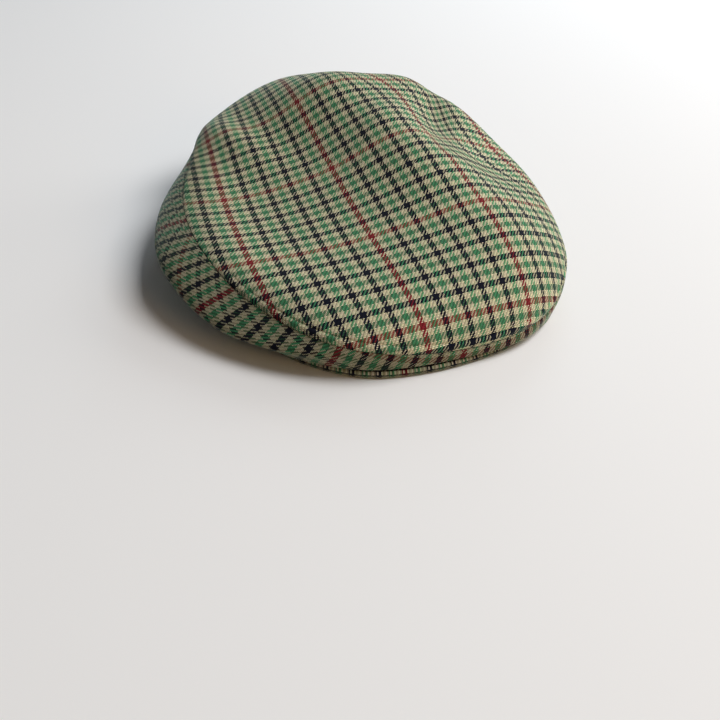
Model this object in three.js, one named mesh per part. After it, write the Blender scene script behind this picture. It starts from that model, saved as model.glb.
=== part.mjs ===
// Flat cap of checked woollen cloth: a one-piece top panel, a side band and a cloth-covered peak.
// Millimetres, +Z up, front towards -Y. The hem and the peak rest on the plane z = 0.

import * as THREE from 'three';

// Driving dimensions
const clothThickness = 2;
const sewnGap = 0.4;
const crownHeight = 43.5;
const edgeTightness = 5.5;
const foldFade = 8;
const bandHandle = 0.55;
const seamHold = 0.5;

const peakThickness = 3.6;
const peakProud = 1.2;
const peakDepth = 44;
const peakTipWidth = 8;
const peakTipTurn = 50;
const peakEdgeRound = 0.9;
const peakMiddle = -10;
const peakShowTurn = 5;
const peakTuckTurn = 26;
const hemFallTurn = 12;
const hemBesidePeak = 1;
const hemDropTurn = 13;

const columns = 72;
const crownRings = 16;
const ringCrowding = 0.9;
const bandRings = 8;
const peakColumns = 40;

// Sections round the cap, one row for each direction from its middle, seen from above
// turn: degrees from the front, positive to the wearer's left
// reach and seam: distance and height of the sewn edge between top panel and band
// rise: height of the rolled edge over the seam
// bulge: how far the band carries on outwards past the seam before it turns down
// flare: lean of the band over the hem, per millimetre of height
// hem: distance of the hem
const sections = [
  { turn: -152, reach: 113.8, seam: 35.6, rise: 7.7, bulge: 6, flare: 0.3, hem: 107 },
  { turn: -138, reach: 99.8, seam: 33.4, rise: 6.2, bulge: 4, flare: 0.3, hem: 100 },
  { turn: -122, reach: 91.2, seam: 31.7, rise: 5, bulge: 16.5, flare: 0.3, hem: 92.8 },
  { turn: -95, reach: 89.6, seam: 29, rise: 3, bulge: 31.6, flare: 1, hem: 83 },
  { turn: -70, reach: 96.5, seam: 27.5, rise: 2, bulge: 36, flare: 1.7, hem: 89.5 },
  { turn: -45, reach: 111, seam: 20.7, rise: 7, bulge: 26, flare: 1.1, hem: 114.4 },
  { turn: -22, reach: 126.4, seam: 15.2, rise: 11.7, bulge: 4, flare: 0.2, hem: 126.5 },
  { turn: 0, reach: 126.5, seam: 9.2, rise: 22.7, bulge: 2, flare: 0.1, hem: 126.9 },
  { turn: 22, reach: 129, seam: 9.4, rise: 20.5, bulge: 1.5, flare: 0.1, hem: 129.7 },
  { turn: 45, reach: 123.3, seam: 11.7, rise: 20, bulge: 3, flare: 0.5, hem: 116.6 },
  { turn: 70, reach: 114.8, seam: 17.2, rise: 22.4, bulge: 8, flare: 0.8, hem: 89.5 },
  { turn: 95, reach: 111.7, seam: 27, rise: 23.3, bulge: 10, flare: 0.8, hem: 83 },
  { turn: 125, reach: 109.5, seam: 37.7, rise: 37.5, bulge: 10, flare: 0.6, hem: 92.8 },
  { turn: 152, reach: 122.8, seam: 43.2, rise: 21, bulge: 8, flare: 0.3, hem: 107 },
  { turn: 180, reach: 127, seam: 43, rise: 19.8, bulge: 6, flare: 0.2, hem: 115.5 },
];

// Swells and dents of the crown, one row each: middle, half-length, half-width, direction of the
// length in degrees from +X, and how far the cloth is lifted
const folds = [
  { name: 'ridge', x: 28, y: 18, length: 103.5, width: 32.3, turn: 104.6, lift: 18.4 },
  { name: 'flat side', x: -47, y: -17.7, length: 86.7, width: 46, turn: 106.4, lift: -8.4 },
  { name: 'right slope', x: 79.7, y: -2, length: 94, width: 26.5, turn: 43.4, lift: -5.9 },
  { name: 'hump', x: 74.6, y: 10, length: 66.5, width: 21.5, turn: 50, lift: 6.7 },
  { name: 'high back', x: 59.4, y: 76, length: 65, width: 28, turn: 8, lift: 11.3 },
  { name: 'back crease', x: -54.7, y: 86.6, length: 54.5, width: 12.8, turn: 107.7, lift: 6.8 },
  { name: 'valley', x: 66.8, y: 31.7, length: 46.4, width: 9.8, turn: 65.3, lift: -5 },
];

const hemOnPeak = peakThickness + sewnGap;

// A closed cubic through one column of the sections, with slopes taken from both neighbours
function around(column, turn) {
  const count = sections.length;
  const first = sections[0].turn;
  const angle = THREE.MathUtils.euclideanModulo(turn - first, 360) + first;
  let row = count - 1;
  while (sections[row].turn > angle) row -= 1;
  const at = (k) => {
    const lap = Math.floor(k / count);
    const section = sections[k - lap * count];
    return { turn: section.turn + 360 * lap, value: section[column] };
  };
  const [before, start, end, after] = [at(row - 1), at(row), at(row + 1), at(row + 2)];
  const span = end.turn - start.turn;
  const u = (angle - start.turn) / span;
  const startSlope = ((end.value - before.value) / (end.turn - before.turn)) * span;
  const endSlope = ((after.value - start.value) / (after.turn - start.turn)) * span;
  const rest = end.value - start.value;
  return start.value + u * startSlope
    + u * u * (3 * rest - 2 * startSlope - endSlope)
    + u * u * u * (startSlope + endSlope - 2 * rest);
}

function place(turn, distance, height) {
  const angle = THREE.MathUtils.degToRad(turn);
  return new THREE.Vector3(distance * Math.sin(angle), -distance * Math.cos(angle), height);
}

function foldLift(x, y) {
  let lift = 0;
  for (const fold of folds) {
    const angle = THREE.MathUtils.degToRad(fold.turn);
    const along = (x - fold.x) * Math.cos(angle) + (y - fold.y) * Math.sin(angle);
    const across = (y - fold.y) * Math.cos(angle) - (x - fold.x) * Math.sin(angle);
    lift += fold.lift * Math.exp(-((along / fold.length) ** 2) - (across / fold.width) ** 2);
  }
  return lift;
}

// A point of the top panel: share runs from 0 in the middle to 1 at the seam
function crownPoint(turn, share) {
  const seam = around('seam', turn);
  const rise = around('rise', turn);
  const point = place(turn, share * around('reach', turn), 0);
  const level = crownHeight + (seam + rise - crownHeight) * share ** 2;
  const roll = rise * (1 - Math.sqrt(1 - share ** edgeTightness));
  point.z = level - roll + foldLift(point.x, point.y) * (1 - share ** foldFade);
  return point;
}

// The direction in which the top panel runs into the seam: outwards and upwards parts
function seamLean(turn) {
  const lastShare = 0.03;
  const lastDrop = 0.25;
  return new THREE.Vector2(lastShare * around('reach', turn), -lastDrop * around('rise', turn)).normalize();
}

function seamNormal(turn) {
  const lean = seamLean(turn);
  return place(turn, -lean.y, lean.x);
}

// The hem lies on the peak where the peak's edge shows, hangs down in front of it on both sides, and
// comes down to the resting plane past its tips
function hemHeight(turn) {
  const away = (Math.abs(turn - peakMiddle) - peakShowTurn - peakTuckTurn) / hemFallTurn;
  const past = (Math.abs(turn) - peakTipTurn - 1) / hemDropTurn;
  const overPeak = hemOnPeak - (hemOnPeak - hemBesidePeak) * THREE.MathUtils.smoothstep(away, 0, 1);
  return overPeak * (1 - THREE.MathUtils.smoothstep(past, 0, 1));
}

function hemWidth(turn) {
  return clothThickness * Math.hypot(1, around('flare', turn));
}

// The front edge of the peak stands proud of the hem near its middle and is tucked behind it beside that
function peakFront(turn) {
  const away = (Math.abs(turn - peakMiddle) - peakShowTurn) / peakTuckTurn;
  const tuck = THREE.MathUtils.smoothstep(away, 0, 1) * (peakProud + hemWidth(turn) + 2 * sewnGap);
  return around('hem', turn) + peakProud - tuck;
}

// A point of the side band: share runs from 0 at the seam to 1 at the hem
function bandPoint(turn, share) {
  const lean = seamLean(turn);
  const seam = new THREE.Vector2(around('reach', turn), around('seam', turn));
  const hem = new THREE.Vector2(around('hem', turn), hemHeight(turn));
  const handle = bandHandle * (seam.y - hem.y);
  const start = seam.clone().addScaledVector(lean, sewnGap);
  const curve = new THREE.CubicBezierCurve(
    start,
    start.clone().addScaledVector(lean, around('bulge', turn)),
    new THREE.Vector2(hem.x + handle * around('flare', turn), hem.y + handle),
    hem,
  );
  const point = curve.getPoint(share);
  return place(turn, point.x, point.y);
}

function outward(surface, turn, share) {
  const shareStep = 0.01;
  const turnStep = 1;
  const down = surface(turn, Math.min(1, share + shareStep)).sub(surface(turn, share - shareStep));
  const across = surface(turn + turnStep, share).sub(surface(turn - turnStep, share));
  return down.cross(across).normalize();
}

function inset(point, normal, depth) {
  return point.clone().addScaledVector(normal, -depth);
}

const turns = Array.from({ length: columns }, (_, k) => -180 + (360 * k) / columns);

// A closed skin over rings of points: each ring joins the next, and the last joins the first unless
// the rings start and end in a pole
function closedSkin(rings, poles) {
  const positions = [];
  const rows = rings.map((ring) => ring.map((point) => positions.push(...point.toArray()) / 3 - 1));
  const indices = [];
  const joins = poles ? rows.length - 1 : rows.length;
  for (let row = 0; row < joins; row += 1) {
    const upper = rows[row];
    const lower = rows[(row + 1) % rows.length];
    const count = Math.max(upper.length, lower.length);
    for (let k = 0; k < count; k += 1) {
      const next = (k + 1) % count;
      if (lower.length > 1) indices.push(upper[k % upper.length], lower[k], lower[next]);
      if (upper.length > 1) indices.push(upper[k], lower[next % lower.length], upper[next]);
    }
  }
  const geometry = new THREE.BufferGeometry();
  geometry.setAttribute('position', new THREE.Float32BufferAttribute(positions, 3));
  geometry.setIndex(indices);
  geometry.computeVertexNormals();
  return geometry;
}

function topPanel() {
  const up = new THREE.Vector3(0, 0, 1);
  const middle = crownPoint(0, 0);
  const outer = [[middle]];
  const inner = [[inset(middle, up, clothThickness)]];
  for (let ring = 1; ring <= crownRings; ring += 1) {
    const share = Math.sin(((ring / crownRings) * Math.PI) / 2) ** ringCrowding;
    const atSeam = ring === crownRings;
    outer.push(turns.map((turn) => crownPoint(turn, share)));
    inner.push(turns.map((turn, k) => {
      const normal = atSeam ? seamNormal(turn) : outward(crownPoint, turn, share);
      return inset(outer[ring][k], normal, clothThickness);
    }));
  }
  return closedSkin([...outer, ...inner.reverse()], true);
}

function sideBand() {
  const outer = [];
  const inner = [];
  for (let ring = 0; ring <= bandRings; ring += 1) {
    const share = ring / bandRings;
    const loop = turns.map((turn) => bandPoint(turn, share));
    outer.push(loop);
    inner.push(turns.map((turn, k) => {
      if (ring === bandRings) {
        return inset(loop[k], place(turn, 1, 0), hemWidth(turn));
      }
      const freedom = Math.min(1, share / seamHold);
      const normal = seamNormal(turn).lerp(outward(bandPoint, turn, share), freedom).normalize();
      return inset(loop[k], normal, clothThickness);
    }));
  }
  return closedSkin([...outer, ...inner.reverse()], false);
}

// The peak is one section swept along the front hem: a flat board with a rounded front edge
function peak() {
  const sides = [];
  for (let k = 0; k <= peakColumns; k += 1) {
    const turn = peakTipTurn * ((2 * k) / peakColumns - 1);
    const front = peakFront(turn);
    const taper = Math.sqrt(1 - (turn / peakTipTurn) ** 2);
    const back = around('hem', turn) - peakTipWidth - (peakDepth - peakTipWidth) * taper;
    const edge = front - peakEdgeRound;
    sides.push([
      place(turn, edge, 0),
      place(turn, front, peakEdgeRound),
      place(turn, front, peakThickness - peakEdgeRound),
      place(turn, edge, peakThickness),
      place(turn, back, peakThickness),
      place(turn, back, 0),
    ]);
  }
  const endMiddle = (ring) => ring.reduce((sum, point) => sum.add(point), new THREE.Vector3())
    .divideScalar(ring.length);
  return closedSkin([[endMiddle(sides[0])], ...sides, [endMiddle(sides.at(-1))]], true);
}

function piece(name, geometry, color) {
  const material = new THREE.MeshStandardMaterial({ color, roughness: 0.95, metalness: 0 });
  const mesh = new THREE.Mesh(geometry, material);
  mesh.name = name;
  return mesh;
}

const cap = new THREE.Group();
cap.add(piece('top_panel', topPanel(), 0x8c9a76));
cap.add(piece('side_band', sideBand(), 0x7f8c6b));
cap.add(piece('peak', peak(), 0x76825f));

export default cap;
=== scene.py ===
import math

import bpy
import numpy as np
from mathutils import Matrix, Vector


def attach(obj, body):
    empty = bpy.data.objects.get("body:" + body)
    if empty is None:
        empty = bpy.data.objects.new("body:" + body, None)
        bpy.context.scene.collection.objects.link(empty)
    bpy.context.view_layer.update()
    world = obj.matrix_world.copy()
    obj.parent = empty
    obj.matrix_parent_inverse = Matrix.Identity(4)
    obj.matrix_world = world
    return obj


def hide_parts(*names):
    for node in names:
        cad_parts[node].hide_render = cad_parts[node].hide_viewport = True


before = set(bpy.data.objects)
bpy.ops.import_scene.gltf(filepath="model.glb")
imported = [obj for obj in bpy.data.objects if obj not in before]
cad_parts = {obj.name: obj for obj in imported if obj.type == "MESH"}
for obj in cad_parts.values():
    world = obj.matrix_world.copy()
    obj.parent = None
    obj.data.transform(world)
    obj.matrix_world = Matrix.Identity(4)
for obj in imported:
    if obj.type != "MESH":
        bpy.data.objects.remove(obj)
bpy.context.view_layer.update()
mm = 0.001
print("frame loaded:", ", ".join(sorted(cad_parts)))

# The cap's form in millimetres, front towards -Y, resting on z 0. The sheets below keep to it.
capForm = {
    "clothThickness": 2.0,
    "sewnGap": 0.4,
    "seamGap": 0.05,
    "crownHeight": 43.5,
    "edgeTightness": 5.5,
    "foldFade": 8,
    "bandHandle": 0.55,
    "peakThickness": 3.6,
    "peakProud": 1.2,
    "peakDepth": 44,
    "peakTipWidth": 8,
    "peakTipTurn": 50,
    "peakMiddle": -10,
    "peakShowTurn": 5,
    "peakTuckTurn": 26,
    "hemFallTurn": 12,
    "hemBesidePeak": 1.0,
    "hemDropStart": 1.0,
    "hemDropTurn": 13,
    "seamLastShare": 0.03,
    "seamLastDrop": 0.25,
}

# one row for each direction from the middle: degrees from the front, positive to +X;
# most values were refined by a fit to the crossings of the check
sectionColumns = ("turn", "reach", "seam", "rise", "bulge", "flare", "hem")
sections = np.array((
    (-152, 113.8, 35.6, 7.7, 6, 0.3, 107),
    (-138, 99.8, 33.4, 6.2, 4, 0.3, 100),
    (-122, 91.2, 31.7, 5, 16.5, 0.3, 92.8),
    (-95, 89.6, 29, 3, 31.6, 1, 83),
    (-70, 96.5, 27.5, 2, 36, 1.7, 89.5),
    (-45, 111, 20.7, 7, 26, 1.1, 114.4),
    (-22, 126.4, 15.2, 11.7, 4, 0.2, 126.5),
    (0, 126.5, 9.2, 22.7, 2, 0.1, 126.9),
    (22, 129, 9.4, 20.5, 1.5, 0.1, 129.7),
    (45, 123.3, 11.7, 20, 3, 0.5, 116.6),
    (70, 114.8, 17.2, 22.4, 8, 0.8, 89.5),
    (95, 111.7, 27, 23.3, 10, 0.8, 83),
    (125, 109.5, 37.7, 37.5, 10, 0.6, 92.8),
    (152, 122.8, 43.2, 21, 8, 0.3, 107),
    (180, 127, 43, 19.8, 6, 0.2, 115.5),
))

# swells and dents of the crown: middle, half-length, half-width, direction of the length, lift;
# refined by the same fit
folds = (
    ("ridge", 28, 18, 103.5, 32.3, 104.6, 18.4),
    ("flat side", -47, -17.7, 86.7, 46, 106.4, -8.4),
    ("right slope", 79.7, -2, 94, 26.5, 43.4, -5.9),
    ("hump", 74.6, 10, 66.5, 21.5, 50, 6.7),
    ("high back", 59.4, 76, 65, 28, 8, 11.3),
    ("back crease", -54.7, 86.6, 54.5, 12.8, 107.7, 6.8),
    ("valley", 66.8, 31.7, 46.4, 9.8, 65.3, -5),
)


def closedCubic(turns, values, turn):
    # a closed cubic through the rows, with slopes taken from both neighbours
    lap = np.concatenate((turns[-2:] - 360, turns, turns[:2] + 360))
    level = np.concatenate((values[-2:], values, values[:2]))
    angle = np.mod(np.asarray(turn, float) - turns[0], 360) + turns[0]
    row = np.clip(np.searchsorted(lap, angle, side="right") - 1, 1, len(lap) - 3)
    span = lap[row + 1] - lap[row]
    u = (angle - lap[row]) / span
    startSlope = (level[row + 1] - level[row - 1]) / (lap[row + 1] - lap[row - 1]) * span
    endSlope = (level[row + 2] - level[row]) / (lap[row + 2] - lap[row]) * span
    rest = level[row + 1] - level[row]
    bend = 3 * rest - 2 * startSlope - endSlope
    twist = startSlope + endSlope - 2 * rest
    return level[row] + u * (startSlope + u * (bend + u * twist))


def around(column, turn):
    return closedCubic(sections[:, 0], sections[:, sectionColumns.index(column)], turn)


def place(turn, distance, height):
    angle = np.radians(turn)
    return np.stack((distance * np.sin(angle), -distance * np.cos(angle), height + 0 * angle), axis=-1)


def foldLift(x, y):
    lift = np.zeros_like(x)
    for _, middleX, middleY, length, width, turn, height in folds:
        cosine, sine = math.cos(math.radians(turn)), math.sin(math.radians(turn))
        along = (x - middleX) * cosine + (y - middleY) * sine
        across = (y - middleY) * cosine - (x - middleX) * sine
        lift += height * np.exp(-(along / length) ** 2 - (across / width) ** 2)
    return lift


def crownPoint(turn, share):
    # share runs from 0 in the middle of the top to 1 at the seam
    seam = around("seam", turn)
    rise = around("rise", turn)
    point = place(turn, share * around("reach", turn), 0.0)
    level = capForm["crownHeight"] + (seam + rise - capForm["crownHeight"]) * share ** 2
    roll = rise * (1 - np.sqrt(np.clip(1 - share ** capForm["edgeTightness"], 0, 1)))
    lift = foldLift(point[..., 0], point[..., 1]) * (1 - share ** capForm["foldFade"])
    point[..., 2] = level - roll + lift
    return point


def seamLean(turn):
    # outwards and upwards parts of the way in which the top runs into the seam
    lean = np.stack((
        capForm["seamLastShare"] * around("reach", turn),
        -capForm["seamLastDrop"] * around("rise", turn),
    ), axis=-1)
    return lean / np.linalg.norm(lean, axis=-1, keepdims=True)


def seamNormal(turn):
    lean = seamLean(turn)
    return place(turn, -lean[..., 1], lean[..., 0])


def smoothStep(value):
    value = np.clip(value, 0, 1)
    return value * value * (3 - 2 * value)


def hemHeight(turn):
    # on the peak where its edge shows, hanging in front of it beside that, on the floor past its tips
    away = np.abs(turn - capForm["peakMiddle"]) - capForm["peakShowTurn"] - capForm["peakTuckTurn"]
    past = np.abs(turn) - capForm["peakTipTurn"] - capForm["hemDropStart"]
    onPeak = capForm["peakThickness"] + capForm["sewnGap"]
    overPeak = onPeak - (onPeak - capForm["hemBesidePeak"]) * smoothStep(away / capForm["hemFallTurn"])
    return overPeak * (1 - smoothStep(past / capForm["hemDropTurn"]))


def peakFront(turn):
    # proud of the hem near its middle, tucked behind it beside that
    away = np.abs(turn - capForm["peakMiddle"]) - capForm["peakShowTurn"]
    hemWidth = capForm["clothThickness"] * np.hypot(1, around("flare", turn))
    tuckDepth = capForm["peakProud"] + hemWidth + 2 * capForm["sewnGap"]
    tuck = smoothStep(away / capForm["peakTuckTurn"]) * tuckDepth
    return around("hem", turn) + capForm["peakProud"] - tuck


def bandPoint(turn, share):
    # share runs from 0 at the seam to 1 at the hem, along a cubic with two handles
    lean = seamLean(turn)
    seam = np.stack((around("reach", turn), around("seam", turn)), axis=-1)
    hem = np.stack((around("hem", turn), hemHeight(turn)), axis=-1)
    handle = capForm["bandHandle"] * (seam[..., 1] - hem[..., 1])
    start = seam + capForm["seamGap"] * lean
    out = start + around("bulge", turn)[..., None] * lean
    down = hem + np.stack((handle * around("flare", turn), handle), axis=-1)
    s = np.asarray(share)[..., None]
    point = (1 - s) ** 3 * start + 3 * (1 - s) ** 2 * s * out + 3 * (1 - s) * s * s * down + s ** 3 * hem
    return place(turn, point[..., 0], point[..., 1])


def bell(distance, middle, width):
    return np.exp(-((distance - middle) / width) ** 2)


def unit(vector):
    return vector / np.maximum(np.linalg.norm(vector, axis=-1, keepdims=True), 1e-9)


def outward(surface, turn, share):
    shareStep = 0.004
    turnStep = 0.4
    down = surface(turn, np.minimum(share + shareStep, 1)) - surface(turn, np.maximum(share - shareStep, 0))
    across = surface(turn + turnStep, share) - surface(turn - turnStep, share)
    return unit(np.cross(down, across))


# Cloth: a two-and-two twill, 24 warp yarns across a check and 20 weft yarns along it,
# the dark yarns red in every fifth check
cloth = {
    "checkAcross": 12.0,
    "checkAlong": 12.6,
    "warpPerCheck": 24,
    "weftPerCheck": 20,
    "yarnsOver": 2,
    "darkOrder": ("red", "navy", "navy", "navy", "navy"),
    "bandOrder": ("dark", "cream", "green", "cream"),
    "warpYarns": {
        "red": (0.24, 0.016, 0.027),
        "navy": (0.007, 0.009, 0.022),
        "cream": (0.585, 0.565, 0.385),
        "green": (0.074, 0.328, 0.156),
    },
    "weftYarns": {
        "red": (0.29, 0.035, 0.04),
        "navy": (0.007, 0.009, 0.022),
        "cream": (0.87, 0.83, 0.575),
        "green": (0.066, 0.19, 0.102),
    },
    "warpCore": 0.63,
    "weftCore": 0.5,
    "weftGive": 0.5,
    "redSlim": 0.22,
    "redOverGreen": 2.0,
    "coreSpread": 0.29,
    "coreEdge": 0.12,
    # painted shade on the yarn below, at the margins of each float
    "paintedMarginShade": (0.53, 0.476, 0.38, 1.0),
    "floatDip": 0.6,
    "floatEnd": 3.0,
    "yarnWobble": 0.3,
    "wobbleScale": 2.3,
    "wobbleDetail": 2.0,
    "yarnSpread": 0.16,
    "weftLot": 0.37,
    "fibreScale": 23.0,
    "fibreDetail": 3.0,
    "fibreSpread": 0.4,
    "fibreRise": 0.25,
    "hueSpread": 0.35,
    "grooveShade": 0.4,
    "ridgeShade": 0.28,
    "ridgeShift": -0.75,
    "bumpDepth": 0.0002,
    "bumpStrength": 0.5,
    "roughness": 0.95,
    "specular": 0.1,
    "sheen": 0.4,
    "sheenRoughness": 0.3,
    "sheenTint": (0.75, 0.95, 0.85, 1.0),
}


class NodeBench:
    # lays nodes in a tree: numbers set a socket, sockets are linked to it
    def __init__(self, tree):
        self.tree = tree

    def node(self, kind, **settings):
        made = self.tree.nodes.new(kind)
        for key, value in settings.items():
            setattr(made, key, value)
        return made

    def feed(self, socket, value):
        if isinstance(value, bpy.types.NodeSocket):
            self.tree.links.new(value, socket)
        else:
            socket.default_value = value

    def math(self, operation, *values):
        made = self.node("ShaderNodeMath", operation=operation)
        for socket, value in zip(made.inputs, values):
            self.feed(socket, value)
        return made.outputs[0]

    def mix(self, factor, first, second):
        made = self.node("ShaderNodeMix", data_type="FLOAT")
        for k, value in ((0, factor), (2, first), (3, second)):
            self.feed(made.inputs[k], value)
        return made.outputs[0]

    def mixColor(self, factor, first, second, blend="MIX"):
        made = self.node("ShaderNodeMix", data_type="RGBA", blend_type=blend)
        self.feed(made.inputs[0], factor)
        self.feed(made.inputs[6], first)
        self.feed(made.inputs[7], second)
        return made.outputs[2]


def yarnRamp(bench, yarns, count, perCheck):
    # the order of the yarns as steps of one ramp, four groups to a check
    groups = []
    for dark in cloth["darkOrder"]:
        groups += [yarns[dark if name == "dark" else name] for name in cloth["bandOrder"]]
    ramp = bench.node("ShaderNodeValToRGB")
    ramp.color_ramp.interpolation = "CONSTANT"
    stops = ramp.color_ramp.elements
    while len(stops) < len(groups):
        stops.new(1.0)
    for k, color in enumerate(groups):
        stops[k].position = k / len(groups)
        stops[k].color = (*color, 1.0)
    repeat = len(cloth["darkOrder"]) * perCheck
    middle = bench.math("ADD", bench.math("FLOORED_MODULO", count, repeat), 0.5)
    bench.feed(ramp.inputs[0], bench.math("DIVIDE", middle, repeat))
    return ramp.outputs[0]


def makeTwillGroup():
    group = bpy.data.node_groups.new("twillCheck", "ShaderNodeTree")
    group.interface.new_socket("Cloth", in_out="INPUT", socket_type="NodeSocketVector")
    group.interface.new_socket("Painted Shade", in_out="INPUT", socket_type="NodeSocketFloat")
    group.interface.new_socket("Warp Rise", in_out="INPUT", socket_type="NodeSocketFloat")
    group.interface.new_socket("Color", in_out="OUTPUT", socket_type="NodeSocketColor")
    group.interface.new_socket("Height", in_out="OUTPUT", socket_type="NodeSocketFloat")
    bench = NodeBench(group)
    entries = bench.node("NodeGroupInput")
    entry = entries.outputs["Cloth"]
    leave = bench.node("NodeGroupOutput")

    # yarn numbers and the place inside each yarn; a dark group is centred on a whole check
    drift = bench.node("ShaderNodeTexNoise", noise_dimensions="3D")
    bench.feed(drift.inputs["Vector"], entry)
    drift.inputs["Scale"].default_value = cloth["wobbleScale"]
    drift.inputs["Detail"].default_value = cloth["wobbleDetail"]
    shift = bench.node("ShaderNodeVectorMath", operation="SUBTRACT")
    bench.feed(shift.inputs[0], drift.outputs["Color"])
    shift.inputs[1].default_value = (0.5, 0.5, 0.5)
    parts = bench.node("ShaderNodeSeparateXYZ")
    bench.feed(parts.inputs[0], entry)
    shifts = bench.node("ShaderNodeSeparateXYZ")
    bench.feed(shifts.inputs[0], shift.outputs[0])
    yarnPlaces = []
    for k, perCheck in enumerate((cloth["warpPerCheck"], cloth["weftPerCheck"])):
        half = perCheck / len(cloth["bandOrder"]) / 2
        counted = bench.math("MULTIPLY_ADD", parts.outputs[k], perCheck, half)
        yarnPlaces.append(bench.math("MULTIPLY_ADD", shifts.outputs[k], cloth["yarnWobble"], counted))
    warpCount, weftCount = (bench.math("FLOOR", value) for value in yarnPlaces)
    warpAcross, weftAcross = (bench.math("FRACT", value) for value in yarnPlaces)

    # two over, two under, each row one yarn further along
    yarnsOver = cloth["yarnsOver"]
    step = bench.math("FLOORED_MODULO", bench.math("ADD", warpCount, weftCount), 2 * yarnsOver)
    warpOnTop = bench.math("LESS_THAN", step, yarnsOver)
    across = bench.mix(warpOnTop, weftAcross, warpAcross)
    warpAlong = bench.math("ADD", step, weftAcross)
    weftAlong = bench.math("ADD", bench.math("SUBTRACT", step, yarnsOver), warpAcross)
    along = bench.math("MULTIPLY", bench.mix(warpOnTop, weftAlong, warpAlong), 1 / yarnsOver)

    # a round yarn that dips under at both ends of its float
    side = bench.math("ABSOLUTE", bench.math("MULTIPLY_ADD", across, 2.0, -1.0))
    roundness = bench.math("SUBTRACT", 1.0, bench.math("MULTIPLY", side, side))
    crown = bench.math("SQRT", bench.math("MAXIMUM", roundness, 0.0))
    fromMiddle = bench.math("ABSOLUTE", bench.math("MULTIPLY_ADD", along, 2.0, -1.0))
    end = bench.math("POWER", fromMiddle, cloth["floatEnd"])
    arch = bench.math("MULTIPLY_ADD", end, -cloth["floatDip"], 1.0)
    height = bench.math("MULTIPLY", crown, arch)

    # the yarn on top shows its middle, and beside it the yarn below, darkened with painted shade; a dark yarn
    # hides more of a light one
    warpColor = yarnRamp(bench, cloth["warpYarns"], warpCount, cloth["warpPerCheck"])
    weftColor = yarnRamp(bench, cloth["weftYarns"], weftCount, cloth["weftPerCheck"])
    over = bench.mixColor(warpOnTop, weftColor, warpColor)
    under = bench.mixColor(warpOnTop, warpColor, weftColor)
    lightness = []
    for value in (under, over):
        gray = bench.node("ShaderNodeRGBToBW")
        bench.feed(gray.inputs[0], value)
        lightness.append(gray.outputs[0])
    contrast = bench.math("SQRT", bench.math("DIVIDE", *lightness))
    evenness = bench.math("MULTIPLY", contrast, cloth["coreSpread"])
    rise = entries.outputs["Warp Rise"]
    weftCore = bench.math("MULTIPLY_ADD", rise, -cloth["weftGive"], cloth["weftCore"])
    core = bench.mix(warpOnTop, weftCore, bench.math("ADD", rise, cloth["warpCore"]))
    whole = 1 + cloth["coreEdge"] / 2
    hues = bench.node("ShaderNodeSeparateColor")
    bench.feed(hues.inputs[0], weftColor)
    redLimit = bench.math("MULTIPLY", hues.outputs[1], cloth["redOverGreen"])
    redWeft = bench.math("GREATER_THAN", hues.outputs[0], redLimit)
    slim = bench.math("MULTIPLY_ADD", redWeft, cloth["redSlim"], rise)
    full = bench.mix(warpOnTop, bench.math("SUBTRACT", whole, slim), whole)
    width = bench.mix(bench.math("MINIMUM", evenness, 1.0), core, full)
    inside = bench.math("SUBTRACT", width, bench.math("MAXIMUM", side, end))
    shows = bench.math("MULTIPLY_ADD", inside, 1 / cloth["coreEdge"], 0.5)
    shows = bench.math("MINIMUM", bench.math("MAXIMUM", shows, 0.0), 1.0)
    margin = bench.mixColor(1.0, under, cloth["paintedMarginShade"], "MULTIPLY")
    color = bench.mixColor(shows, margin, over)

    # each yarn has its own shade and flecks of fibre; painted shade darkens the groove beside it, and painted
    # light and shade run along the twill's slanting ridges
    number = bench.mix(warpOnTop, bench.math("ADD", weftCount, cloth["weftLot"]), warpCount)
    lot = bench.node("ShaderNodeTexWhiteNoise", noise_dimensions="1D")
    bench.feed(lot.inputs["W"], number)
    fibre = bench.node("ShaderNodeTexNoise", noise_dimensions="3D")
    bench.feed(fibre.inputs["Vector"], entry)
    fibre.inputs["Scale"].default_value = cloth["fibreScale"]
    fibre.inputs["Detail"].default_value = cloth["fibreDetail"]
    yarnSpread, fibreSpread = cloth["yarnSpread"], cloth["fibreSpread"]
    shade = bench.math("MULTIPLY_ADD", lot.outputs["Value"], yarnSpread, 1 - yarnSpread / 2)
    fleck = bench.math("MULTIPLY_ADD", fibre.outputs["Fac"], 2 * fibreSpread, 1 - fibreSpread)
    deep = bench.math("MULTIPLY_ADD", height, cloth["grooveShade"], 1 - cloth["grooveShade"])
    ridgeStart = cloth["ridgeShift"] * math.pi
    slant = bench.math("MULTIPLY_ADD", bench.math("ADD", *yarnPlaces), math.pi / yarnsOver, ridgeStart)
    ridge = bench.math("MULTIPLY_ADD", bench.math("SINE", slant), cloth["ridgeShade"], 1.0)
    tone = bench.math("MULTIPLY", bench.math("MULTIPLY", shade, fleck), bench.math("MULTIPLY", deep, ridge))
    # the piece's painted shade darkens the whole weave
    tone = bench.math("MULTIPLY", tone, entries.outputs["Painted Shade"])
    hue = bench.mixColor(cloth["hueSpread"], (0.5, 0.5, 0.5, 1.0), fibre.outputs["Color"])
    toneColor = bench.node("ShaderNodeCombineColor")  # doubled, because the hue lies round a half
    for socket in toneColor.inputs:
        bench.feed(socket, bench.math("MULTIPLY", tone, 2.0))
    tinted = bench.mixColor(1.0, hue, toneColor.outputs[0], "MULTIPLY")
    bench.feed(leave.inputs["Color"], bench.mixColor(1.0, color, tinted, "MULTIPLY"))
    fuzz = bench.math("MULTIPLY_ADD", fibre.outputs["Fac"], cloth["fibreRise"], height)
    bench.feed(leave.inputs["Height"], fuzz)
    return group


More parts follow.
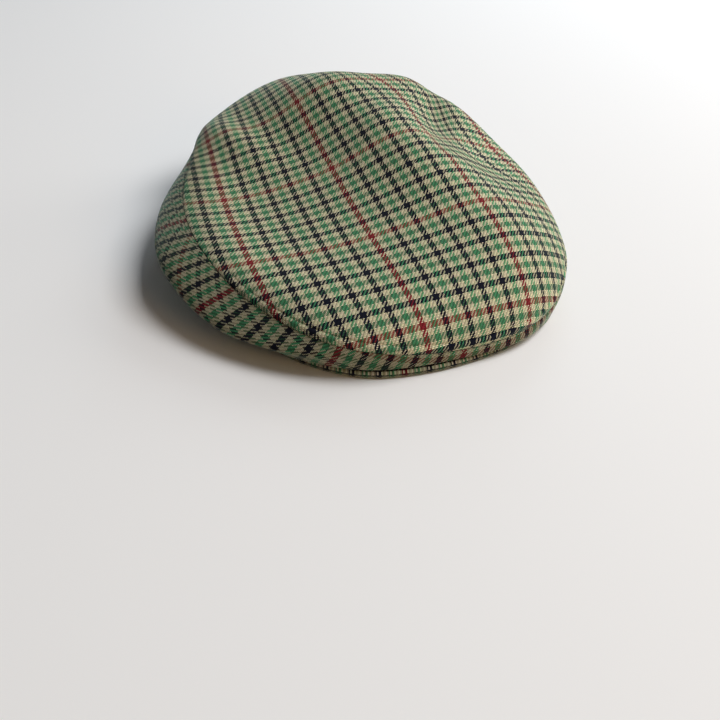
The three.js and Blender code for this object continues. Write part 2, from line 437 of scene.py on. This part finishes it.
def clothMaterial(name, group, piece):
    material = bpy.data.materials.new(name)
    material.use_nodes = True
    bench = NodeBench(material.node_tree)
    shader = material.node_tree.nodes["Principled BSDF"]
    weave = bench.node("ShaderNodeGroup", node_tree=group)
    lay = bench.node("ShaderNodeUVMap", uv_map="clothLay")
    bench.feed(weave.inputs["Cloth"], lay.outputs["UV"])
    # painted shade: from the piece's attribute, or one number for all of it
    if "paintedShadeAttribute" in piece:
        tone = bench.node("ShaderNodeAttribute", attribute_name=piece["paintedShadeAttribute"])
        bench.feed(weave.inputs["Painted Shade"], tone.outputs["Fac"])
    else:
        weave.inputs["Painted Shade"].default_value = piece["paintedShadeTone"]
    weave.inputs["Warp Rise"].default_value = piece["warpRise"]
    bump = bench.node("ShaderNodeBump")
    bump.inputs["Strength"].default_value = cloth["bumpStrength"]
    bump.inputs["Distance"].default_value = cloth["bumpDepth"]
    bench.feed(bump.inputs["Height"], weave.outputs["Height"])
    bench.feed(shader.inputs["Base Color"], weave.outputs["Color"])
    bench.feed(shader.inputs["Normal"], bump.outputs["Normal"])
    shader.inputs["Roughness"].default_value = cloth["roughness"]
    shader.inputs["Specular IOR Level"].default_value = cloth["specular"]
    shader.inputs["Sheen Weight"].default_value = cloth["sheen"]
    shader.inputs["Sheen Roughness"].default_value = cloth["sheenRoughness"]
    shader.inputs["Sheen Tint"].default_value = cloth["sheenTint"]
    return material


def gridSheet(name, across, along):
    bpy.ops.object.select_all(action="DESELECT")
    bpy.ops.mesh.primitive_grid_add(x_subdivisions=across, y_subdivisions=along, size=2)
    sheet = bpy.context.active_object
    sheet.name = name
    sheet.data.name = name
    return sheet


def readPoints(sheet):
    points = np.zeros(len(sheet.data.vertices) * 3)
    sheet.data.vertices.foreach_get("co", points)
    return points.reshape(-1, 3)


def writePoints(sheet, points):
    sheet.data.vertices.foreach_set("co", (points * mm).astype(np.float32).ravel())
    sheet.data.update()


def cornerVertices(sheet):
    corners = np.zeros(len(sheet.data.loops), np.int32)
    sheet.data.loops.foreach_get("vertex_index", corners)
    return corners


def writeLay(sheet, layPerVertex):
    # the lay of the cloth on the piece, one unit for each check
    while sheet.data.uv_layers:
        sheet.data.uv_layers.remove(sheet.data.uv_layers[0])
    layer = sheet.data.uv_layers.new(name="clothLay")
    layer.data.foreach_set("uv", layPerVertex[cornerVertices(sheet)].astype(np.float32).ravel())


def writeTone(sheet, name, tonePerVertex):
    layer = sheet.data.attributes.new(name, "FLOAT", "POINT")
    layer.data.foreach_set("value", tonePerVertex.astype(np.float32))


def closeSheet(sheet, innerPoints):
    # a second layer, pushed in and turned round, welded to the first along the edges
    weldDistance = 0.004
    outerCount = len(sheet.data.vertices)
    bpy.ops.object.mode_set(mode="EDIT")
    bpy.ops.mesh.select_all(action="SELECT")
    bpy.ops.mesh.duplicate()
    bpy.ops.mesh.flip_normals()
    bpy.ops.object.mode_set(mode="OBJECT")
    points = readPoints(sheet) / mm
    points[outerCount:] = innerPoints
    writePoints(sheet, points)
    bpy.ops.object.mode_set(mode="EDIT")
    bpy.ops.mesh.select_all(action="SELECT")
    bpy.ops.mesh.remove_doubles(threshold=weldDistance * mm)
    bpy.ops.object.mode_set(mode="OBJECT")


def edgeRound(distance, width, depth):
    # how far a rounded edge falls back, at a distance from its end
    left = 1 - np.clip(distance / width, 0, 1)
    return depth * (1 - np.sqrt(np.maximum(1 - left ** 2, 0)))


# Top panel: a square grid pressed over the crown, so that its rows stay even
topPanel = {
    "rows": 200,
    "patternRows": 80,
    "walkShares": 400,
    "walkTurn": 0.5,
    "edgeShare": 0.25,
    "edgeWidth": 9.0,
    "edgeCrowding": 1.3,
    "edgeTurn": 2.0,
    "lastShare": 0.999,
    "edgeRound": (0.3, 0.12),
    "paintedShadeAttribute": "topPaintedShade",
    # painted shade: how much darker the cloth is made near the seam, over what width and which turns
    "paintedSeamShade": 0.35,
    "paintedSeamShadeWidth": 22.0,
    "paintedSeamShadeTurn": (-95.0, 45.0, 85.0),
    "warpRise": 0.0,
    "stitchDistance": 4.2,
    "stitchWidth": 0.55,
    "stitchDepth": 0.55,
    "weltLift": 0.45,
    "weltFront": (15.0, 45.0, 85.0),
    "weltBeside": 0.2,
    "weltMiddle": 2.4,
    "weltWidth": 1.3,
    "checkPin": (-13.0, -58.8),
    "checkAim": (-9.0, 2.9),
    "pinNeighbours": 6,
    "pinSoftness": 0.2,
    "grainAcross": (99.8, -2.3, -0.1, 2.7, -3.7, 5.8),
    "grainAlong": (2.2, 101.4, 6.5, 3.5, -0.3, 0.0),
    "unwrapRounds": 24,
    "tuck": 16.0,
    "tuckMiddle": (66.8, 31.7),
    "tuckTurn": 65.3,
    "tuckSide": (-6.0, 14.0, 30.0),
    "tuckFront": (-62.0, -38.0),
    "backTuck": 7.8,
    "backTuckRight": (10.0, 35.0),
    "backTuckBack": (44.0, 74.0),
}


def discFromSquare(square):
    # rings of the square become rings of the disc
    a, b = square[:, 0], square[:, 1]
    wide = np.abs(a) >= np.abs(b)
    ring = np.where(wide, np.abs(a), np.abs(b))
    safe = np.where(wide, a, b)
    safe = np.where(np.abs(safe) < 1e-9, 1.0, safe)
    lean = np.where(wide, b, a) / safe * math.pi / 4
    angle = np.where(wide, lean, math.pi / 2 - lean) + np.where(safe < 0, math.pi, 0)
    turn = np.degrees(np.arctan2(np.cos(angle), -np.sin(angle)))
    return turn, ring


def crownRows():
    # arc lengths from the middle of the top to the seam, for each step of the turn
    shares = np.sin(np.linspace(0, math.pi / 2, topPanel["walkShares"]))
    compass = np.arange(-180, 181, topPanel["walkTurn"])
    walk = crownPoint(compass[:, None] + 0 * shares, shares[None, :] + 0 * compass[:, None])
    steps = np.linalg.norm(np.diff(walk, axis=1), axis=2)
    return shares, np.concatenate((np.zeros((len(compass), 1)), np.cumsum(steps, axis=1)), axis=1)


def pressOverCrown(square):
    # rows lie evenly over the top and close together near the seam
    turn, ring = discFromSquare(square)
    shares, lengths = crownRows()
    edgeRing = 1 - topPanel["edgeShare"]
    share = np.zeros(len(turn))
    fromSeam = np.zeros(len(turn))
    nearest = np.clip(np.rint((turn + 180) / topPanel["walkTurn"]).astype(int), 0, len(lengths) - 1)
    for k in np.unique(nearest):
        here = nearest == k
        whole = lengths[k, -1]
        walked = np.clip(ring[here] / edgeRing, 0, 1) * (whole - topPanel["edgeWidth"])
        toSeam = np.clip((1 - ring[here]) / (1 - edgeRing), 0, 1) ** topPanel["edgeCrowding"]
        walked += (1 - toSeam) * topPanel["edgeWidth"]
        share[here] = np.interp(walked, lengths[k], shares)
        fromSeam[here] = whole - walked
    share[ring > 1 - 1e-6] = 1.0
    fromSeam[ring > 1 - 1e-6] = 0.0
    points = crownPoint(turn, share)
    normals = outward(crownPoint, turn, np.minimum(share, topPanel["lastShare"]))
    nearSeam = np.clip(1 - fromSeam / topPanel["edgeTurn"], 0, 1)[:, None]
    normals = unit(normals * (1 - nearSeam) + seamNormal(turn) * nearSeam)
    normals[ring < 1e-6] = (0, 0, 1)
    return points, normals, fromSeam


def topPattern():
    # a coarser sheet laid flat with least stretch, turned so that a red stripe runs through two pins
    sheet = gridSheet("topPattern", topPanel["patternRows"], topPanel["patternRows"])
    points = pressOverCrown(readPoints(sheet))[0]
    writePoints(sheet, points)
    bpy.ops.object.mode_set(mode="EDIT")
    bpy.ops.mesh.select_all(action="SELECT")
    bpy.ops.uv.unwrap(method="MINIMUM_STRETCH", iterations=topPanel["unwrapRounds"], margin=0.0)
    bpy.ops.object.mode_set(mode="OBJECT")
    corners = cornerVertices(sheet)
    flat = np.zeros(len(corners) * 2)
    sheet.data.uv_layers[0].data.foreach_get("uv", flat)
    lay = np.zeros((len(points), 2))
    lay[corners] = flat.reshape(-1, 2)
    ends = np.zeros(len(sheet.data.edges) * 2, np.int32)
    sheet.data.edges.foreach_get("vertices", ends)
    a, b = ends.reshape(-1, 2).T
    solid = np.linalg.norm(points[a] - points[b], axis=1)
    printed = np.linalg.norm(lay[a] - lay[b], axis=1)
    lay *= (solid * printed).sum() / (printed ** 2).sum()
    bpy.ops.object.delete()

    pins = []
    for x, y in (topPanel["checkPin"], topPanel["checkAim"]):
        away = np.hypot(points[:, 0] - x, points[:, 1] - y)
        near = np.argsort(away)[:topPanel["pinNeighbours"]]
        weight = 1 / (away[near] + topPanel["pinSoftness"]) ** 2
        pins.append((lay[near] * weight[:, None]).sum(axis=0) / weight.sum())
    back = unit(pins[1] - pins[0])
    right = np.array((back[1], -back[0]))
    if (lay[np.argmax(points[:, 0])] - pins[0]) @ right < 0:
        right = -right
    flatLay = np.stack(((lay - pins[0]) @ right, (lay - pins[0]) @ -back), axis=-1)
    print("pattern laid flat:", np.round(np.ptp(flatLay, axis=0), 1), "mm")
    return flatLay


def tuckedCloth(points):
    # extra cloth taken up across the valley on the +X side, in millimetres, less of it further out,
    # and over the back of the ridge
    turn = math.radians(topPanel["tuckTurn"])
    x, y = (points[:, :2] - np.array(topPanel["tuckMiddle"])).T
    along = x * math.cos(turn) + y * math.sin(turn)
    beside = x * math.sin(turn) - y * math.cos(turn)
    start, full, fade = topPanel["tuckSide"]
    front, back = topPanel["tuckFront"]
    share = smoothStep((beside - start) / (full - start)) * bell(np.maximum(beside - full, 0), 0, fade)
    tuck = topPanel["tuck"] * share * smoothStep((along - front) / (back - front))
    backTuck = topPanel["backTuck"]
    for k, reach in ((0, topPanel["backTuckRight"]), (1, topPanel["backTuckBack"])):
        backTuck = backTuck * smoothStep((points[:, k] - reach[0]) / (reach[1] - reach[0]))
    return tuck + backTuck


def topLay(square, points):
    # the pattern's lay between its rows, in checks
    rows = topPanel["patternRows"]
    pattern = topPattern().reshape(rows + 1, rows + 1, 2)
    spot = np.clip((square[:, :2] + 1) / 2 * rows, 0, rows - 1e-6)
    cell = np.floor(spot).astype(int)
    u, v = (spot - cell).T[..., None]
    column, row = cell.T
    low = pattern[row, column] * (1 - u) + pattern[row, column + 1] * u
    high = pattern[row + 1, column] * (1 - u) + pattern[row + 1, column + 1] * u
    right, front = (low * (1 - v) + high * v).T / 100

    # the cloth is bowed and skewed a little: millimetres for each 100 and its powers, from a fit too
    drawn = np.stack((right, front, right ** 2, right * front, front ** 2, right * front ** 2), axis=-1)
    across = drawn @ np.array(topPanel["grainAcross"]) + tuckedCloth(points)
    along = drawn @ np.array(topPanel["grainAlong"])
    return np.stack((across / cloth["checkAcross"], along / cloth["checkAlong"]), axis=-1)


def makeTopPanel(material):
    sheet = gridSheet("topPanel", topPanel["rows"], topPanel["rows"])
    square = readPoints(sheet)
    points, normals, fromSeam = pressOverCrown(square)
    turn = discFromSquare(square)[0]
    lay = topLay(square, points)
    bpy.ops.object.select_all(action="DESELECT")
    bpy.context.view_layer.objects.active = sheet
    sheet.select_set(True)

    # turned edge, welt and stitched groove, flatter away from the front
    thickness = capForm["clothThickness"]
    middle, near, far = topPanel["weltFront"]
    aside = smoothStep((np.abs(turn - middle) - near) / (far - near))
    frontRound, besideRound = topPanel["edgeRound"]
    drop = edgeRound(fromSeam, frontRound + (besideRound - frontRound) * aside, thickness / 2)
    welt = topPanel["weltLift"] * bell(fromSeam, topPanel["weltMiddle"], topPanel["weltWidth"])
    groove = topPanel["stitchDepth"] * bell(fromSeam, topPanel["stitchDistance"], topPanel["stitchWidth"])
    strength = 1 - (1 - topPanel["weltBeside"]) * aside
    relief = (welt - groove) * strength * np.clip(fromSeam, 0, 1)
    writePoints(sheet, points + normals * (relief - drop)[:, None])
    writeLay(sheet, lay)

    # painted shade: the cloth is darker towards the seam on the -X side
    middle, near, far = topPanel["paintedSeamShadeTurn"]
    onShadedSide = 1 - smoothStep((np.abs(turn - middle) - near) / (far - near))
    nearSeam = 1 - smoothStep(fromSeam / topPanel["paintedSeamShadeWidth"])
    writeTone(sheet, topPanel["paintedShadeAttribute"], 1 - topPanel["paintedSeamShade"] * nearSeam * onShadedSide)
    closeSheet(sheet, points - normals * (thickness - drop)[:, None])
    sheet.data.materials.append(material)
    bpy.ops.object.shade_smooth()
    return sheet


# Side band: one strip wrapped round, its ends met in a seam at the middle of the back
sideBand = {
    "columns": 720,
    "rows": 44,
    "rowCrowding": 0.88,
    "walkShares": 120,
    "redStripe": 5.2,
    "redLine": 3.6,
    "edgeRound": 0.12,
    "paintedShadeAttribute": "bandPaintedShade",
    # painted shade: the band's cloth tone on its -X side and elsewhere, and the turns where it changes
    "paintedShadeTone": (0.46, 0.58),
    "paintedShadeTurn": (-60.0, 10.0),
    "paintedShadeBackTurn": (120.0, 180.0),
    "warpRise": 0.28,
    "backSeamDepth": 0.6,
    "backSeamWidth": 0.9,
    "seamHold": 0.5,
    "hemTurn": 2.0,
}

# how the check lies on the band: turn, shift along the seam, lean of the stripes that cross the band,
# slope of the lines along it
bandGrain = np.array((
    (-152, 6.0, 0.1, 0.6),
    (-122, 6.0, 0.12, 0.75),
    (-98, 5.8, 0.17, 0.8),
    (-88, 3.4, 0.22, 0.82),
    (-79, 0.4, 0.32, 0.82),
    (-66, 0.4, 0.36, 0.72),
    (-55, 0.5, 0.44, 0.62),
    (-42, 0.0, 0.44, 0.45),
    (-28, -0.8, 0.44, 0.31),
    (-14, 0.4, 0.36, 0.13),
    (0, 0.5, 0.25, 0.0),
    (22, 0.4, 0.0, -0.1),
    (45, 0.0, -0.3, -0.3),
    (95, 0.0, -0.2, -0.5),
    (140, 0.0, 0.0, -0.3),
    (180, 0.0, 0.0, 0.0),
))


def bandLay(compass, walk, turn, down):
    # stripes keep their distance along the seam; the lines along the band run down towards the front
    seamRun = np.concatenate(((0.0,), np.cumsum(np.linalg.norm(np.diff(walk[:, 0], axis=0), axis=1))))
    slope = closedCubic(bandGrain[:, 0], bandGrain[:, 3], compass)
    fall = np.concatenate(((0.0,), np.cumsum((slope[1:] + slope[:-1]) / 2 * np.diff(seamRun))))
    seamRun -= np.interp(0, compass, seamRun)
    fall -= np.interp(0, compass, fall)
    shift = closedCubic(bandGrain[:, 0], bandGrain[:, 1], turn)
    lean = closedCubic(bandGrain[:, 0], bandGrain[:, 2], turn)
    across = np.interp(turn, compass, seamRun) - sideBand["redStripe"] + shift + lean * down
    along = down - sideBand["redLine"] - np.interp(turn, compass, fall)
    return np.stack((across / cloth["checkAcross"], along / cloth["checkAlong"]), axis=-1)


def makeSideBand(material):
    sheet = gridSheet("sideBand", sideBand["columns"], sideBand["rows"])
    square = readPoints(sheet)
    turn = square[:, 0] * 180
    row = (1 - square[:, 1]) / 2

    # even rows down the band, by arc length
    compass = np.linspace(-180, 180, sideBand["columns"] + 1)
    shares = np.linspace(0, 1, sideBand["walkShares"])
    walk = bandPoint(compass[:, None] + 0 * shares, shares[None, :] + 0 * compass[:, None])
    lengths = np.concatenate((
        np.zeros((len(compass), 1)),
        np.cumsum(np.linalg.norm(np.diff(walk, axis=1), axis=2), axis=1),
    ), axis=1)
    column = np.rint((turn + 180) / 360 * sideBand["columns"]).astype(int)
    share = np.zeros(len(turn))
    down = np.zeros(len(turn))
    eased = row - sideBand["rowCrowding"] * np.sin(2 * math.pi * row) / (2 * math.pi)
    for k in range(len(compass)):
        here = column == k
        down[here] = eased[here] * lengths[k, -1]
        share[here] = np.interp(down[here], lengths[k], shares)
    toHem = lengths[column, -1] - down

    points = bandPoint(turn, share)
    normals = outward(bandPoint, turn, share)
    hold = np.clip(share / sideBand["seamHold"], 0, 1)[:, None]
    normals = unit(seamNormal(turn) * (1 - hold) + normals * hold)
    atHem = np.clip(1 - toHem / sideBand["hemTurn"], 0, 1)[:, None]
    normals = unit(normals * (1 - atHem) + place(turn, 1.0, 0.0) * atHem)

    thickness = capForm["clothThickness"]
    drop = np.maximum(
        edgeRound(down, sideBand["edgeRound"], thickness / 2),
        edgeRound(toHem, thickness / 2, thickness / 2),
    )
    fromBack = np.radians(180 - np.abs(turn)) * around("reach", turn)
    backSeam = sideBand["backSeamDepth"] * bell(fromBack, 0, sideBand["backSeamWidth"])
    outer = points - normals * (drop + backSeam)[:, None]
    inner = points - normals * (thickness - drop)[:, None]
    writePoints(sheet, outer)
    writeLay(sheet, bandLay(compass, walk, turn, down))

    # painted shade: the cloth is darker on the -X side, lighter from the front round the +X side to the back
    dark, light = sideBand["paintedShadeTone"]
    start, end = sideBand["paintedShadeTurn"]
    backStart, backEnd = sideBand["paintedShadeBackTurn"]
    back = smoothStep((np.abs(turn) - backStart) / (backEnd - backStart))
    lessShaded = np.maximum(smoothStep((turn - start) / (end - start)), back)
    writeTone(sheet, sideBand["paintedShadeAttribute"], dark + (light - dark) * lessShaded)
    closeSheet(sheet, inner)
    sheet.data.materials.append(material)
    bpy.ops.object.shade_smooth()
    return sheet


# Peak: a stiff crescent covered in the same cloth, its section swept under the front hem
peak = {
    "columns": 200,
    "roundPoints": 12,
    "boardPoints": 16,
    "edgeSamples": 400,
    "weldDistance": 0.01,
    "smoothAngle": 40.0,
    "redStripe": -24.6,
    "redLine": 12.0,
    # painted shade: the peak's cloth is made darker all over
    "paintedShadeTone": 0.44,
    "warpRise": 0.0,
}


def makePeak(material):
    thickness = capForm["peakThickness"]
    radius = thickness / 2
    # the section's way round, as distance behind the front edge and height
    bend = np.linspace(-math.pi / 2, math.pi / 2, peak["roundPoints"])
    nose = np.stack((radius - radius * np.cos(bend), radius + radius * np.sin(bend)), axis=-1)
    board = np.linspace(0, 1, peak["boardPoints"])
    rows = len(nose) + 2 * len(board) - 1
    sheet = gridSheet("peakCloth", peak["columns"], rows)
    square = readPoints(sheet)
    side = np.rint((1 - square[:, 1]) / 2 * rows).astype(int)
    turn = square[:, 0] * capForm["peakTipTurn"]
    front = peakFront(turn)
    taper = np.sqrt(np.maximum(1 - (turn / capForm["peakTipTurn"]) ** 2, 0))
    depth = capForm["peakTipWidth"] + (capForm["peakDepth"] - capForm["peakTipWidth"]) * taper
    depth += front - around("hem", turn)

    behind = np.zeros(len(turn))
    height = np.zeros(len(turn))
    boardCount = len(board)
    for k in range(rows + 1):
        here = side == k
        if k < boardCount:
            spot = board[k]
            behind[here] = depth[here] * (1 - spot) + radius * spot
            height[here] = thickness
        elif k < boardCount + len(nose):
            behind[here], height[here] = nose[len(nose) - 1 - (k - boardCount)]
        else:
            spot = board[k - boardCount - len(nose)]
            behind[here] = depth[here] * spot + radius * (1 - spot)
            height[here] = 0.0
    points = place(turn, front - behind, height)
    writePoints(sheet, points)

    compass = np.linspace(-capForm["peakTipTurn"], capForm["peakTipTurn"], peak["edgeSamples"])
    edge = place(compass, peakFront(compass), 0.0)
    run = np.concatenate(((0.0,), np.cumsum(np.linalg.norm(np.diff(edge, axis=0), axis=1))))
    run -= np.interp(0, compass, run)
    over = np.where(height > radius, behind, behind + thickness) - height
    lay = np.stack((
        (np.interp(turn, compass, run) - peak["redStripe"]) / cloth["checkAcross"],
        (peak["redLine"] - over) / cloth["checkAlong"],
    ), axis=-1)
    writeLay(sheet, lay)
    bpy.ops.object.mode_set(mode="EDIT")
    bpy.ops.mesh.select_all(action="SELECT")
    bpy.ops.mesh.remove_doubles(threshold=peak["weldDistance"] * mm)
    bpy.ops.mesh.select_all(action="DESELECT")
    bpy.ops.mesh.select_mode(type="EDGE")
    bpy.ops.mesh.select_non_manifold()
    bpy.ops.mesh.edge_face_add()
    bpy.ops.mesh.select_all(action="SELECT")
    bpy.ops.mesh.normals_make_consistent(inside=False)
    bpy.ops.object.mode_set(mode="OBJECT")
    sheet.data.materials.append(material)
    bpy.ops.object.shade_smooth_by_angle(angle=math.radians(peak["smoothAngle"]))
    return sheet


# Studio: pale floor, large soft lights high and low to the right, one behind and a weak warm one in front,
# and a faint sky all round. Each light has its name, place, size, power and tint.
studio = {
    "floorSize": 6.0,
    "floorColor": (0.88, 0.88, 0.88, 1.0),
    "floorRoughness": 0.9,
    "skyColor": (1.0, 1.0, 1.0),
    "skyStrength": 0.09,
    "lights": (
        ("keyLight", (1.5, -0.3, 2.1), 1.5, 55.0, (0.99, 0.99, 1.0)),
        ("rightLight", (2.3, 0.3, 0.9), 1.2, 18.0, (1.0, 0.97, 0.92)),
        ("backLight", (1.5, 2.0, 0.9), 1.2, 20.0, (0.75, 0.9, 1.0)),
        ("frontLight", (0.6, -1.6, 0.65), 0.8, 5.5, (1.0, 0.58, 0.2)),
    ),
    "aim": (0.0, 0.0, 0.03),
}


def makeStudio():
    bpy.ops.object.select_all(action="DESELECT")
    bpy.ops.mesh.primitive_plane_add(size=studio["floorSize"])
    floor = bpy.context.active_object
    floor.name = "floor"
    paint = bpy.data.materials.new("paleFloor")
    paint.use_nodes = True
    shader = paint.node_tree.nodes["Principled BSDF"]
    shader.inputs["Base Color"].default_value = studio["floorColor"]
    shader.inputs["Roughness"].default_value = studio["floorRoughness"]
    floor.data.materials.append(paint)
    for name, spot, size, power, tint in studio["lights"]:
        bpy.ops.object.light_add(type="AREA", location=spot)
        light = bpy.context.active_object
        light.name = name
        light.data.size = size
        light.data.energy = power
        light.data.color = tint
        toward = Vector(studio["aim"]) - Vector(spot)
        light.rotation_euler = toward.to_track_quat("-Z", "Y").to_euler()
    world = bpy.data.worlds.new("studioSky")
    world.use_nodes = True
    sky = world.node_tree.nodes["Background"]
    sky.inputs["Color"].default_value = (*studio["skyColor"], 1.0)
    sky.inputs["Strength"].default_value = studio["skyStrength"]
    bpy.context.scene.world = world
    bpy.context.scene.view_settings.view_transform = "Standard"


# Camera: the photo's angle, with the cap leaning a little to the -X side
photoView = {
    "azimuth": -23.5,
    "elevation": 38.0,
    "capLean": 3.0,
    "distance": 440.0,
    "aim": (-13.0, -54.5, -43.5),
    "lens": 40.0,
    "sensor": 36.0,
}


def makeCamera():
    azimuth = math.radians(photoView["azimuth"])
    elevation = math.radians(photoView["elevation"])
    back = Vector((
        math.sin(azimuth) * math.cos(elevation),
        -math.cos(azimuth) * math.cos(elevation),
        math.sin(elevation),
    ))
    lean = Matrix.Rotation(-math.radians(photoView["capLean"]), 4, "Y")
    level = back.to_track_quat("Z", "Y").to_matrix().to_4x4()
    turned = lean @ level
    data = bpy.data.cameras.new("photoCamera")
    data.lens = photoView["lens"]
    data.sensor_width = photoView["sensor"]
    camera = bpy.data.objects.new("photoCamera", data)
    bpy.context.scene.collection.objects.link(camera)
    turned.translation = (Vector(photoView["aim"]) + lean @ back * photoView["distance"]) * mm
    camera.matrix_world = turned
    bpy.context.scene.camera = camera


twill = makeTwillGroup()
topSheet = makeTopPanel(clothMaterial("topCloth", twill, topPanel))
print("top panel pressed:", len(topSheet.data.polygons), "faces")
bandSheet = makeSideBand(clothMaterial("bandCloth", twill, sideBand))
print("side band wrapped:", len(bandSheet.data.polygons), "faces")
peakSheet = makePeak(clothMaterial("peakCover", twill, peak))
print("peak covered:", len(peakSheet.data.polygons), "faces")

for piece, node, slot in (
    (topSheet, "top_panel", "top_cloth"),
    (bandSheet, "side_band", "band_cloth"),
    (peakSheet, "peak", "peak_cloth"),
):
    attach(piece, "root")
    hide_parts(node)

makeStudio()
makeCamera()
print("studio and camera set")
